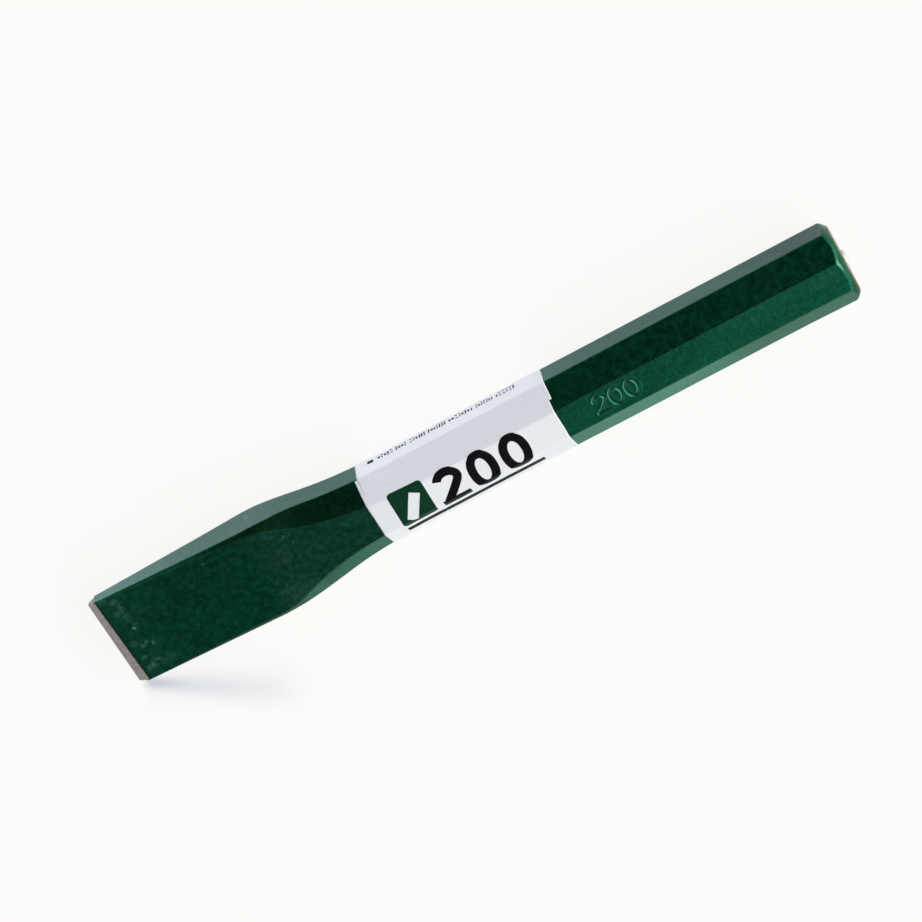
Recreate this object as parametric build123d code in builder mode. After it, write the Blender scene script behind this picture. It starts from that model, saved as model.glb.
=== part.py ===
from build123d import *
from collections import namedtuple
import math
import os

# Cold chisel: one forging with a green enamel skin and a paper label band.
# Millimetres. +X runs along the tool from the cutting edge to the struck head,
# +Z is the normal of the broad blade face, +Y the normal of the narrow side.
# The origin is the middle of the cutting edge; the tool's axis is the X axis.

# ---------------------------------------------------------------- dimensions
length = 200.0              # cutting edge to struck face
coat = 0.10                 # enamel thickness
glue = 0.05                 # adhesive film thickness
paper = 0.15                # label paper thickness

blank_start = -3.0          # the blank starts ahead of the cutting edge
blade_end = 42.0            # the flat blade runs from the edge to here
shank_start = 86.0          # from here to the head the bar is a plain octagon

edge_land = 0.16            # width of the narrow flat left along the cutting edge
bevel_length = 2.50         # length of each ground bevel, along the axis

head_face_r = 7.75          # radius of the struck face
head_chamfer_len = 2.15     # axial length of the turned chamfer
head_chamfer_rise = 2.35    # radial height of the turned chamfer
pip_r = 1.85                # small pip on the struck face
pip_h = 0.70
pip_round = 0.35
pip_root = 0.5              # depth the pip is sunk into the head

label_start, label_end = 72.7, 123.3    # the band round the shank, along X
lap_width = 4.7             # overlap of the lap on the corner facet
glue_margin = 0.6           # glue stays this far inside the paper's edges

mark_depth = 0.30           # stamped size mark, pressed into the upper broad facet
mark_stroke = 0.62
mark_x, mark_y = 132.2, -1.95           # lower corner of the mark on the facet
digit_w, digit_h, digit_gap = 3.0, 4.3, 1.15
hook_drop = 1.25            # start of the first digit's hook, below its top
bowl_drop = 1.35            # end of the hook's arc, below its top
sweep_x, sweep_y = 0.72, 0.40           # middle of its downstroke, as parts of its size

# Cutting tools reach past the blank by these amounts
tool_reach = 3              # bevel and chamfer lines run on to this many times their length
tool_overhang = 5.0         # past either end of the tool
bevel_clearance = 20.0      # extra height of the bevel tool at the head end
bevel_tool_half = 30.0      # half width of the bevel tool
head_tool_r = 25.0          # radius of the turning profile at the blade end
mark_clearance = 1.0        # above the facet
glue_cutter_side = 40.0     # square that encloses the shank

# The eight-sided section over the enamel, at stations along the axis:
# x, half width of the body, half height of the side facet,
# half width of the broad facet, half height of the body.
Station = namedtuple("Station", "x side_y side_z top_y top_z")
STATIONS = [Station(*row) for row in (
    (blank_start, 12.68, 1.30, 12.54, 1.40),
    (blade_end, 12.42, 4.80, 11.30, 5.60),
    (46.0, 12.31, 4.84, 10.66, 5.95),
    (50.0, 12.08, 4.55, 9.25, 6.24),
    (54.0, 11.73, 4.08, 7.78, 6.52),
    (58.0, 11.20, 3.81, 6.60, 6.93),
    (62.0, 10.62, 3.70, 5.74, 7.42),
    (66.0, 10.16, 3.63, 5.12, 7.87),
    (70.0, 9.85, 3.58, 4.70, 8.26),
    (75.0, 9.62, 3.54, 4.30, 8.66),
    (80.0, 9.50, 3.51, 4.02, 8.93),
    (shank_start, 9.46, 3.495, 3.89, 9.065),
)]
BLADE_STATIONS = STATIONS[:2]
NECK_STATIONS = STATIONS[1:]
LABEL_STATIONS = STATIONS[7:]           # begins ahead of the band, which is cut to length
SHANK = STATIONS[-1]


# ---------------------------------------------------------------- shared shapes
def section(station, skin):
    """Corner points (y, z) of the octagon at a station, grown by skin over the enamel surface."""
    # unit normal of the corner facet, and the facet's distance from the axis
    rise_y = station.top_y - station.side_y
    rise_z = station.top_z - station.side_z
    facet = math.hypot(rise_y, rise_z)
    normal_y, normal_z = rise_z / facet, -rise_y / facet
    distance = normal_y * station.side_y + normal_z * station.side_z + skin

    # where the moved corner facet meets the moved side and broad facets
    side_y, top_z = station.side_y + skin, station.top_z + skin
    side_z = (distance - normal_y * side_y) / normal_z
    top_y = (distance - normal_z * top_z) / normal_y
    half = [(side_y, -side_z), (side_y, side_z), (top_y, top_z), (-top_y, top_z)]
    return half + [(-y, -z) for y, z in half]


def tool_envelope(skin):
    """The blank forging, before grinding and turning, with every face moved outwards by skin."""
    with BuildPart() as blank:
        for station in BLADE_STATIONS:
            with BuildSketch(Plane.YZ.offset(station.x)):
                Polygon(*section(station, skin), align=None)
        loft(ruled=True)
        for station in NECK_STATIONS:
            with BuildSketch(Plane.YZ.offset(station.x)):
                Polygon(*section(station, skin), align=None)
        loft()
        with BuildSketch(Plane.YZ.offset(shank_start)):
            Polygon(*section(SHANK, skin), align=None)
        extrude(amount=length - shank_start)
    return blank.part


def digits(stroke, level):
    """Sketch of the stamped size numerals, lying level above the tool's middle plane."""
    left, right = mark_x, mark_x + digit_w
    base, top = mark_y, mark_y + digit_h
    bowl_end = (right, top - bowl_drop)
    sweep_middle = (left + sweep_x * digit_w, base + sweep_y * digit_h)
    with BuildSketch(Plane.XY.offset(level)) as numerals:
        # a two, drawn as a stroke
        with BuildLine():
            ThreePointArc((left, top - hook_drop), (left + digit_w / 2, top), bowl_end)
            ThreePointArc(bowl_end, sweep_middle, (left, base))
            Line((left, base), (right, base))
        trace(line_width=stroke)
        # two noughts
        for k in (1, 2):
            center_x = left + k * (digit_w + digit_gap) + digit_w / 2
            with Locations((center_x, base + digit_h / 2)):
                Ellipse((digit_w + stroke) / 2, (digit_h + stroke) / 2)
                Ellipse((digit_w - stroke) / 2, (digit_h - stroke) / 2, mode=Mode.SUBTRACT)
    return numerals.sketch


def bevel_outline():
    """Points (x, z) of the side view left by the two bevels, meeting in the cutting edge."""
    start, end = BLADE_STATIONS
    along = (bevel_length - start.x) / (end.x - start.x)
    bevel_half = start.top_z + (end.top_z - start.top_z) * along
    reach_half = tool_reach * bevel_half
    upper = [
        (0, edge_land / 2),
        (bevel_length, bevel_half),
        (tool_reach * bevel_length, reach_half - (tool_reach - 1) * edge_land / 2),
        (length + tool_overhang, reach_half + bevel_clearance),
    ]
    return [(x, -z) for x, z in upper] + upper[::-1]


def head_outline(face_r):
    """Points (x, radius) of the turning profile with the chamfer round the head."""
    return [
        (-tool_overhang, 0),
        (length, 0),
        (length, face_r),
        (length - tool_reach * head_chamfer_len, face_r + tool_reach * head_chamfer_rise),
        (-tool_overhang, head_tool_r),
    ]


# ---------------------------------------------------------------- forged body
def make_forged_body():
    pip_x = length - pip_root
    pip_top = length + pip_h
    round_start = (pip_top - pip_round, pip_r)
    with BuildPart() as body:
        add(tool_envelope(-coat))
        # stamped size mark, with room for the enamel on its floor and walls
        add(digits(mark_stroke + 2 * coat, SHANK.top_z - coat - mark_depth))
        extrude(amount=mark_depth + mark_clearance, mode=Mode.SUBTRACT)
        # two ground bevels
        with BuildSketch(Plane.XZ):
            Polygon(*bevel_outline(), align=None)
        extrude(amount=bevel_tool_half, both=True, mode=Mode.INTERSECT)
        # turned chamfer round the head
        with BuildSketch(Plane.XY):
            Polygon(*head_outline(head_face_r), align=None)
        revolve(axis=Axis.X, mode=Mode.INTERSECT)
        # pip left on the struck face
        with BuildSketch(Plane.XY):
            with BuildLine():
                Polyline((pip_x, 0), (pip_x, pip_r), round_start)
                JernArc(round_start, (1, 0), pip_round, -90)
                Polyline((pip_top, pip_r - pip_round), (pip_top, 0), (pip_x, 0))
            make_face()
        revolve(axis=Axis.X)
    return body.part


# ---------------------------------------------------------------- enamel coat
def make_enamel_coat(body):
    # radial thickness of the enamel on the head chamfer
    cone_skin = coat * math.hypot(head_chamfer_len, head_chamfer_rise) / head_chamfer_len
    with BuildPart() as enamel:
        add(tool_envelope(0.0))
        # the enamel lines the floor and the walls of the stamped mark
        add(digits(mark_stroke, SHANK.top_z - mark_depth))
        extrude(amount=mark_depth + mark_clearance, mode=Mode.SUBTRACT)
        # the enamel is ground away with the bevels
        with BuildSketch(Plane.XZ):
            Polygon(*bevel_outline(), align=None)
        extrude(amount=bevel_tool_half, both=True, mode=Mode.INTERSECT)
        # the enamel follows the head chamfer and stops at the struck face
        with BuildSketch(Plane.XY):
            Polygon(*head_outline(head_face_r + cone_skin), align=None)
        revolve(axis=Axis.X, mode=Mode.INTERSECT)
        add(body, mode=Mode.SUBTRACT)
    return enamel.part


# ---------------------------------------------------------------- adhesive film
def make_label_adhesive():
    with BuildPart() as film:
        add(tool_envelope(glue))
        with BuildSketch(Plane.YZ.offset(label_start + glue_margin)):
            Rectangle(glue_cutter_side, glue_cutter_side)
        extrude(amount=label_end - label_start - 2 * glue_margin, mode=Mode.INTERSECT)
        add(tool_envelope(0.0), mode=Mode.SUBTRACT)
    return film.part


# ---------------------------------------------------------------- paper label
# The band starts at the corner between the side facet and the corner facet, runs once round
# the shank, and ends in a lap of two thicknesses over part of that corner facet.
def label_section(station):
    """The band's outline: the octagon with the lap's step on the upper corner facet."""
    outline = section(station, glue + paper)
    (y0, z0), (y1, z1) = outline[1:3]
    run = math.hypot(y1 - y0, z1 - z0)
    along_y, along_z = (y1 - y0) / run, (z1 - z0) / run
    step_y, step_z = paper * along_z, -paper * along_y
    foot_y, foot_z = y0 + lap_width * along_y, z0 + lap_width * along_z
    lap = [(y0 + step_y, z0 + step_z), (foot_y + step_y, foot_z + step_z), (foot_y, foot_z)]
    return outline[:2] + lap + outline[2:]


def make_paper_label():
    with BuildPart() as band:
        for station in LABEL_STATIONS:
            with BuildSketch(Plane.YZ.offset(station.x)):
                Polygon(*label_section(station), align=None)
        loft()
        with BuildSketch(Plane.YZ.offset(shank_start)):
            Polygon(*label_section(SHANK), align=None)
        extrude(amount=label_end - shank_start)
        split(bisect_by=Plane.YZ.offset(label_start), keep=Keep.TOP)
        add(tool_envelope(glue), mode=Mode.SUBTRACT)
    return band.part


# ---------------------------------------------------------------- export
forged_body = make_forged_body()
pieces = {
    "forged_body": forged_body,
    "enamel_coat": make_enamel_coat(forged_body),
    "label_adhesive": make_label_adhesive(),
    "paper_label": make_paper_label(),
}

os.makedirs("parts", exist_ok=True)
for name, piece in pieces.items():
    piece.label = name
    export_step(piece, f"parts/{name}.step")
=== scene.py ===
"""A flat forged chisel: eight-sided enamelled body, ground edge, bare steel head, paper label.

It lies along X with the cutting edge at x = 0 and the head's face at x = 200. The broad facets
face +Z and -Z, the side facets +Y and -Y. Lengths are in mm and are scaled when meshes are made.
"""
import math
from functools import reduce

import bmesh
import bpy
import numpy as np
from mathutils import Matrix, Vector


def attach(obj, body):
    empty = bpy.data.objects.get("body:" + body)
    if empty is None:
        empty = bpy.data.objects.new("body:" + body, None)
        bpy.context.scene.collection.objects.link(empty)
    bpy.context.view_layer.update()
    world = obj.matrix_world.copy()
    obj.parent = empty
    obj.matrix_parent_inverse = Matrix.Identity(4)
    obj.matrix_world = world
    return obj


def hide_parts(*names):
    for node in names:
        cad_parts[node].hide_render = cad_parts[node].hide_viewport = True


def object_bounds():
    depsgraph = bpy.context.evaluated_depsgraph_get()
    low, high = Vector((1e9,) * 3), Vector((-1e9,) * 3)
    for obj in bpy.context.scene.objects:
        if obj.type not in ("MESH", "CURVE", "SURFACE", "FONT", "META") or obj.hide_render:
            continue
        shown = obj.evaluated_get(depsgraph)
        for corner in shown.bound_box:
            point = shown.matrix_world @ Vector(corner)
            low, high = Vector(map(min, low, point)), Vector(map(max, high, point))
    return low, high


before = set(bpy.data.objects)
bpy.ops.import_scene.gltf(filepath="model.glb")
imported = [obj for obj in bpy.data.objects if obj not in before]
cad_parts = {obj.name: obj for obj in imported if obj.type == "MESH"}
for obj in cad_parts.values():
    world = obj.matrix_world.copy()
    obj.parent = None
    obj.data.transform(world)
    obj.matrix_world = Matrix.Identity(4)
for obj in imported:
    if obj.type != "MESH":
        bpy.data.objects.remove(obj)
cad_low, cad_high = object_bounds()
scene = bpy.context.scene
MM = 0.001

# ---------------------------------------------------------------- driving sizes
# x, half width and half height of the side facets, half width and half height of the broad ones
STATIONS = [
    (-3.0, 12.68, 1.30, 12.54, 1.40), (42.0, 12.42, 4.80, 11.30, 5.60),
    (46.0, 12.31, 4.84, 10.66, 5.95), (50.0, 12.08, 4.55, 9.25, 6.24),
    (54.0, 11.73, 4.08, 7.78, 6.52), (58.0, 11.20, 3.81, 6.60, 6.93),
    (62.0, 10.62, 3.70, 5.74, 7.42), (66.0, 10.16, 3.63, 5.12, 7.87),
    (70.0, 9.85, 3.58, 4.70, 8.26), (75.0, 9.62, 3.54, 4.30, 8.66),
    (80.0, 9.50, 3.51, 4.02, 8.93), (86.0, 9.46, 3.495, 3.89, 9.065),
    (204.0, 9.46, 3.495, 3.89, 9.065)]
BLADE_KNOTS = (10.0, 24.0, 34.0, 39.0)      # extra knots that keep the blade's taper straight

COAT, GLUE, PAPER = 0.10, 0.05, 0.15        # thicknesses
LABEL_START, LABEL_END = 72.7, 123.3
# The bevels are the planes z = +-(LAND + BEVEL_SLOPE x) + BEVEL_SKEW y
BEVEL_SLOPE, BEVEL_SKEW, LAND = 0.745, 0.0152, 0.08
HEAD_X = 200.0
RIM_RADIUS = 7.75                           # where the head's chamfer meets its face
CHAMFER_SLOPE = 2.35 / 2.15                 # radial rise over length
CHAMFER_SKIN = 1.48                         # radial growth of the chamfer for 1 mm of skin
CHAMFER_BLEND = 0.5                         # radial reach of the rounding where chamfer starts


# ---------------------------------------------------------------- curves and noise
def blade_station(x):
    first, second = np.array(STATIONS[0]), np.array(STATIONS[1])
    return first + (second - first) * (x - first[0]) / (second[0] - first[0])


KNOTS = np.array([STATIONS[0], *map(blade_station, BLADE_KNOTS), *STATIONS[1:]])


def monotone_curve(knots, values, x):
    """Cubic curve through the knots that doesn't overshoot them."""
    gap = np.diff(knots)
    slope = np.diff(values) / gap
    tangent = np.zeros_like(values)
    tangent[0], tangent[-1] = slope[0], slope[-1]
    for i in range(1, len(knots) - 1):
        if slope[i - 1] * slope[i] > 0:
            before = 2 * gap[i] + gap[i - 1]
            after = gap[i] + 2 * gap[i - 1]
            tangent[i] = (before + after) / (before / slope[i - 1] + after / slope[i])
    i = np.clip(np.searchsorted(knots, x) - 1, 0, len(knots) - 2)
    t = (x - knots[i]) / gap[i]
    return ((1 + 2 * t) * (1 - t) ** 2 * values[i] + t * (1 - t) ** 2 * gap[i] * tangent[i]
            + t * t * (3 - 2 * t) * values[i + 1] + t * t * (t - 1) * gap[i] * tangent[i + 1])


def lattice_value(cell, seed):
    """A fixed pseudo-random value, -1 to 1, for each whole-number cell."""
    mixed = (cell * [374761393, 668265263, 2147483647]).sum(-1) + seed * 974634777
    mixed = mixed & 0xFFFFFFFF
    mixed = ((mixed ^ (mixed >> 13)) * 1274126177) & 0xFFFFFFFF
    mixed = mixed ^ (mixed >> 16)
    return (mixed & 0xFFFF) / 32767.5 - 1.0


def noise3(points, scale, seed):
    """Smooth value noise, -1 to 1, with features of about the given scale."""
    place = points / scale + 100.0
    cell = np.floor(place).astype(np.int64)
    t = place - cell
    t = t * t * (3 - 2 * t)
    total = 0.0
    for corner in np.ndindex(2, 2, 2):
        weight = np.where(corner, t, 1 - t).prod(-1)
        total = total + weight * lattice_value(cell + corner, seed)
    return total


def smoothstep(start, end, x):
    t = np.clip((x - start) / (end - start), 0, 1)
    return t * t * (3 - 2 * t)


# ---------------------------------------------------------------- the rounded octagon
# Steps across each facet, in order: side +Y, upper corner +Y, broad +Z, upper corner -Y,
# side -Y, under corner -Y, broad -Z, under corner +Y
FACET_STEPS = [10, 12, 66, 12, 10, 10, 20, 10]
CORNER_STEPS = 6
ARRIS_REACH = 0.45          # how far the edge attribute spreads from an arris
TABLE_STEP = 0.25
TABLE_X = np.arange(-3.0, 202.01, TABLE_STEP)


def outline(x, radius, facet_steps, corner_steps, order=range(8)):
    """Section at each x: (y, z) points, outward normals and nearness to an arris."""
    side_y, side_z, broad_y, broad_z = [monotone_curve(KNOTS[:, 0], KNOTS[:, k], x)
                                        for k in (1, 2, 3, 4)]
    corners = np.stack([np.stack(corner, -1) for corner in (
        (side_y, -side_z), (side_y, side_z), (broad_y, broad_z), (-broad_y, broad_z),
        (-side_y, side_z), (-side_y, -side_z), (-broad_y, -broad_z), (broad_y, -broad_z))], 1)
    along = np.roll(corners, -1, 1) - corners
    length = np.linalg.norm(along, axis=2)
    along = along / length[..., None]
    outward = np.stack([along[..., 1], -along[..., 0]], -1)
    last_along, last_outward = np.roll(along, 1, 1), np.roll(outward, 1, 1)
    turn = np.arccos(np.clip((last_outward * outward).sum(-1), -1, 1))
    half_tan = np.tan(turn / 2)
    radius = np.minimum(np.broadcast_to(radius.reshape(-1, 1), length.shape),
                        0.45 * np.minimum(length, np.roll(length, 1, 1)) / half_tan)
    cut = radius * half_tan
    points, normals, nearness = [], [], []
    for k in order:
        # The arc at corner k, then the flat that follows it
        centre = (corners[:, k] - last_along[:, k] * cut[:, k, None]
                  - last_outward[:, k] * radius[:, k, None])
        for j in range(corner_steps):
            t = j / corner_steps
            normal = (np.sin((1 - t) * turn[:, k])[:, None] * last_outward[:, k]
                      + np.sin(t * turn[:, k])[:, None] * outward[:, k])
            normal = normal / np.sin(turn[:, k])[:, None]
            points.append(centre + normal * radius[:, k, None])
            normals.append(normal)
            nearness.append(np.ones(len(x)))
        following = (k + 1) % 8
        start = corners[:, k] + along[:, k] * cut[:, k, None]
        end = corners[:, following] - along[:, k] * cut[:, following, None]
        for j in range(facet_steps[k]):
            t = j / facet_steps[k]
            points.append(start + (end - start) * t)
            normals.append(outward[:, k])
            distance = np.minimum(t, 1 - t) * np.linalg.norm(end - start, axis=1)
            nearness.append(np.exp(-(distance / ARRIS_REACH) ** 2))
    return np.stack(points, 1), np.stack(normals, 1), np.stack(nearness, 1)


arris_radius = 0.30 + 0.28 * smoothstep(2, 60, TABLE_X)
table_points, table_normals, table_edge = outline(TABLE_X, arris_radius, FACET_STEPS, CORNER_STEPS)
LINES = table_points.shape[1]               # lengthwise lines round the body


def sample_table(table, x):
    """A table's values at stations x, an array of rows by LINES."""
    place = np.clip((x - TABLE_X[0]) / TABLE_STEP, 0, len(TABLE_X) - 1.001)
    row = place.astype(int)
    share = place - row
    if table.ndim == 3:
        share = share[..., None]
    line = np.broadcast_to(np.arange(LINES), x.shape)
    return table[row, line] * (1 - share) + table[row + 1, line] * share


# ---------------------------------------------------------------- stamped size mark "200"
MARK_X, MARK_Y = 132.2, -1.95               # foot of the first figure
MARK_WIDTH, MARK_HEIGHT, MARK_GAP = 3.0, 4.3, 1.15
MARK_DEPTH, MARK_BURR = 0.30, 0.035


def arc_through(start, middle, end):
    """60 points on the circular arc from start through middle to end."""
    start, middle, end = complex(*start), complex(*middle), complex(*end)
    ratio = (end - start) / (middle - start)
    centre = start + (middle - start) * (ratio - abs(ratio) ** 2) / (2j * ratio.imag)
    first, last = np.angle(start - centre), np.angle(end - centre)
    sense = 1 if ratio.imag > 0 else -1
    angles = np.linspace(first, first + sense * ((sense * (last - first)) % (2 * math.pi)), 60)
    radius = abs(start - centre)
    return [(centre.real + radius * math.cos(t), centre.imag + radius * math.sin(t))
            for t in angles]


def mark_path():
    """Centre lines of the figures on the +Z facet, as (x, y) points."""
    x, y, width, height = MARK_X, MARK_Y, MARK_WIDTH, MARK_HEIGHT
    shoulder = (x + width, y + height - 1.35)
    points = arc_through((x, y + height - 1.25), (x + width / 2, y + height), shoulder)
    points += arc_through(shoulder, (x + 0.72 * width, y + 0.40 * height), (x, y))
    points += [(x + width * t, y) for t in np.linspace(0, 1, 60)]
    for k in (1, 2):
        centre_x = x + k * (width + MARK_GAP) + width / 2
        points += [(centre_x + width / 2 * math.cos(t), y + height / 2 + height / 2 * math.sin(t))
                   for t in np.linspace(0, 2 * math.pi, 160)]
    return np.array(points)


MARK = mark_path()


def mark_depth(x, y, normal_z, grow):
    """Depth of the mark under the +Z facet: sloping walls with a slight burr round them."""
    depth = np.zeros(x.shape)
    near = (normal_z > 0.999) & (x > 130.5) & (x < 146) & (np.abs(y) < 3.6)
    if near.any():
        places = np.stack([x[near], y[near]], -1)
        distance = np.linalg.norm(places[:, None] - MARK[None], axis=2).min(1)
        depth[near] = (MARK_DEPTH * (1 - smoothstep(0.05 + grow, 0.44 + grow, distance))
                       - MARK_BURR * np.exp(-((distance - 0.62 - grow) / 0.16) ** 2))
    return depth


# ---------------------------------------------------------------- surface of the tool
# How far each side departs from the drawn shape along y: x, shift
BEND_PLUS_Y = np.array([(0, -0.26), (30, -0.26), (41, -0.17), (46, -0.02), (52, 0.0)])
BEND_MINUS_Y = np.array([
    (0, -0.40), (40, -0.40), (46, -0.33), (50, -0.29), (56, -0.27), (61, -0.19), (66, -0.10),
    (71, 0), (124, -0.03), (150, -0.10), (175, -0.18), (186, -0.22), (192, -0.32), (200, -0.38)])


def forge_wobble(points):
    """Slight unevenness of a hammered and rolled surface."""
    return (0.045 * noise3(points, 17, 3) + 0.020 * noise3(points, 6.5, 5)
            + 0.006 * noise3(points, 2.4, 9))


def bend(points):
    """Moves points in place to the hand-forged shape, and sets the head slightly askew."""
    x = points[..., 0]
    plus = np.interp(x, *BEND_PLUS_Y.T)
    minus = np.interp(x, *BEND_MINUS_Y.T)
    t = 0.5 + 0.5 * np.clip(points[..., 1] / 9.4, -1, 1)
    points[..., 1] += minus + (plus - minus) * (t * t * (3 - 2 * t))
    points[..., 0] += (0.06 - 0.006 * points[..., 1]) * smoothstep(185, 199, x)
    return points


def surface(stations, skin):
    """Points and section normals at stations (rows by LINES), offset outwards by skin."""
    section, normals = sample_table(table_points, stations), sample_table(table_normals, stations)
    normals = normals / np.linalg.norm(normals, axis=-1, keepdims=True)
    points = np.concatenate([stations[..., None], section], -1)
    depth = mark_depth(stations, section[..., 0], normals[..., 1], -0.4 * skin)
    fade = smoothstep(0.2, 6.0, stations) * (1 - smoothstep(190, 197, stations))
    offset = skin + forge_wobble(points) * fade - depth
    points[..., 1:] += normals * offset[..., None]
    return points, normals


def rim_radius(points, skin=0.0):
    """Radius of the chamfer at the head's face, dressed slightly oval."""
    angle = np.arctan2(points[..., 2], points[..., 1])
    oval = 0.45 * np.cos(angle + math.radians(20)) ** 2 + 0.05 * np.sin(3 * angle + 1.0)
    return RIM_RADIUS + oval + skin * CHAMFER_SKIN


def turn_chamfer(points, skin):
    """Pulls points that stand outside the chamfer cone towards the axis, in place."""
    radius = np.linalg.norm(points[..., 1:], axis=-1)
    cone = rim_radius(points, skin) + (HEAD_X - points[..., 0]) * CHAMFER_SLOPE
    blend = np.maximum(CHAMFER_BLEND - np.abs(radius - cone), 0) / CHAMFER_BLEND
    limit = np.minimum(radius, cone) - blend * blend * CHAMFER_BLEND * 0.25
    points[..., 1:] *= (limit / radius)[..., None]
    return points


MIDDLE_X = np.concatenate([
    np.arange(8, 42, 1.0), np.arange(42, 90, 0.75), np.arange(90, 130.9, 1.4),
    np.arange(131, 145.01, 0.125), np.arange(146.3, 191, 1.5)])
middle_rows = np.repeat(MIDDLE_X[:, None], LINES, 1)


def head_stations(skin, end_x):
    """Rows from x = 192 to end_x, crowded where each line meets the chamfer."""
    points, _ = surface(np.full((1, LINES), 196.0), skin)
    radius = np.linalg.norm(points[0, :, 1:], axis=-1)
    meeting = HEAD_X - (radius - rim_radius(points[0], skin)) / CHAMFER_SLOPE
    before, after = meeting - 1.0, meeting + 0.8
    rows = [192.0 + (before - 192.0) * t for t in np.linspace(0, 1, 4)]
    rows += [before + 1.8 * t for t in np.linspace(0, 1, 15)[1:]]
    rows += [after + (end_x - after) * t for t in np.linspace(0, 1, 5)[1:]]
    return np.stack(rows)


# ---------------------------------------------------------------- mesh helpers
def grid_faces(rows, columns, closed=True):
    i = np.arange(rows - 1)[:, None]
    j = np.arange(columns if closed else columns - 1)[None]
    beside = (j + 1) % columns
    return np.stack([i * columns + j, i * columns + beside,
                     (i + 1) * columns + beside, (i + 1) * columns + j], -1).reshape(-1, 4)


def link_smooth(mesh):
    mesh.polygons.foreach_set("use_smooth", np.ones(len(mesh.polygons), bool))
    obj = bpy.data.objects.new(mesh.name, mesh)
    scene.collection.objects.link(obj)
    return obj


def mesh_object(name, points, faces):
    mesh = bpy.data.meshes.new(name)
    vertices = (points.reshape(-1, 3) * MM).tolist()
    mesh.from_pydata(vertices, [], [tuple(int(v) for v in face) for face in faces])
    mesh.update()
    return link_smooth(mesh)


def add_attribute(obj, name, values):
    attribute = obj.data.attributes.new(name, "FLOAT", "POINT")
    attribute.data.foreach_set("value", np.asarray(values, np.float32).ravel())


def thicken(obj, name, thickness):
    """Gives a sheet its thickness, inwards from its outer face."""
    solidify = obj.modifiers.new(name, "SOLIDIFY")
    solidify.thickness, solidify.offset = thickness * MM, -1.0
    return solidify


def faces_inward(centre, normal):
    return centre.y * normal.y + centre.z * normal.z < 0


# ---------------------------------------------------------------- enamel coat
def coat_start():
    """Where the enamel starts on each line: at the bevels, with a ragged ground edge."""
    x = np.full(LINES, 2.4)
    for _ in range(12):                     # settles on the crossing with the nearer bevel
        points, _ = surface(x[None], 0.0)
        height = np.abs(points[0, :, 2] - BEVEL_SKEW * points[0, :, 1])
        x = 0.5 * x + 0.5 * (height - LAND) / BEVEL_SLOPE
    points, normals = surface(np.maximum(x, 0.1)[None], 0.0)
    section = points[0] * [0, 1, 1]
    on_side = np.abs(normals[0, :, 0]) > 0.93
    side_start = 1.75 + 0.35 * noise3(section, 1.7, 21)
    x = np.where(on_side, np.maximum(x, side_start), x)
    chipping = 0.10 * np.maximum(noise3(section, 0.8, 4), 0) ** 2
    return x + 0.05 + chipping + 0.03 * noise3(section, 0.35, 8)


def enamel_coat():
    start = coat_start()
    tip_rows = np.stack([start + (7.2 - start) * t for t in np.linspace(0, 1, 28) ** 1.5])
    end_section = np.concatenate([np.zeros((LINES, 1)), table_points[-1]], -1)
    end_x = HEAD_X - 0.22 + 0.07 * noise3(end_section, 1.6, 13)
    stations = np.concatenate([tip_rows, middle_rows, head_stations(0.0, end_x)])
    points, normals = surface(stations, 0.0)
    points = bend(turn_chamfer(points, 0.0))
    obj = mesh_object("enamel_coat_skin", points, grid_faces(len(points), LINES))
    add_attribute(obj, "edge", sample_table(table_edge, stations))
    flat_y = sample_table(table_points, stations)[..., 0]
    stamp = np.abs(mark_depth(stations, flat_y, normals[..., 1], 0.0)) / MARK_DEPTH
    add_attribute(obj, "stamp", np.minimum(stamp * 1.3, 1))
    bm = bmesh.new()
    bm.from_mesh(obj.data)
    bmesh.ops.recalc_face_normals(bm, faces=bm.faces)
    bm.to_mesh(obj.data)
    bm.free()
    thicken(obj, "thickness", COAT).use_even_offset = False
    return obj


coat = enamel_coat()
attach(coat, "root")
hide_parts("enamel_coat")

# ---------------------------------------------------------------- steel body
STEEL_SKIN = -COAT - 0.01
STEEL_TIP_X = np.array([-2.5, -1.0, 0.5, 1.5, 2.0, 2.5, 3.0, 4.0, 6.0])
# x, radius: over the rim, across the face and up the small raised boss at its middle
HEAD_PROFILE = [
    (199.90, 7.74), (199.965, 7.62), (199.99, 7.45), (200.0, 7.2), (200.0, 6.2), (200.0, 5.0),
    (200.0, 3.8), (200.0, 2.8), (200.01, 2.15), (200.05, 1.97), (200.16, 1.89), (200.36, 1.86),
    (200.52, 1.82), (200.62, 1.70), (200.68, 1.48), (200.70, 1.15), (200.69, 0.7), (200.68, 0.3)]
# The cutting edge's two ends: side, radius, half width
EDGE_ENDS = [(1, 0.75, 12.33), (-1, 0.50, 12.97)]


def head_rings(rim):
    """Rings that close the head, starting from the body's last row."""
    angle = np.arctan2(rim[:, 2], rim[:, 1])
    rings = []
    for x, radius in HEAD_PROFILE:
        oval = (rim_radius(rim) / RIM_RADIUS - 1) * smoothstep(4.5, 7.4, radius)
        reach = radius * (1 + oval)
        ring = np.stack([np.full(LINES, x), reach * np.cos(angle), reach * np.sin(angle)], -1)
        if radius > 2.1:
            roughness = 1 - smoothstep(6.6, 7.5, radius)
        else:
            roughness = 0.6 * smoothstep(0, 1.2, radius)
        ring[:, 0] += roughness * (0.05 * noise3(ring, 2.6, 31) + 0.02 * noise3(ring, 0.9, 33))
        if 0.9 < radius < 2.2:              # the boss is slightly out of round
            ring[:, 1:] *= (1 + 0.03 * noise3(ring * [0, 1, 1], 1.6, 35))[:, None]
        rings.append(ring)
    return np.stack(rings)


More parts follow.
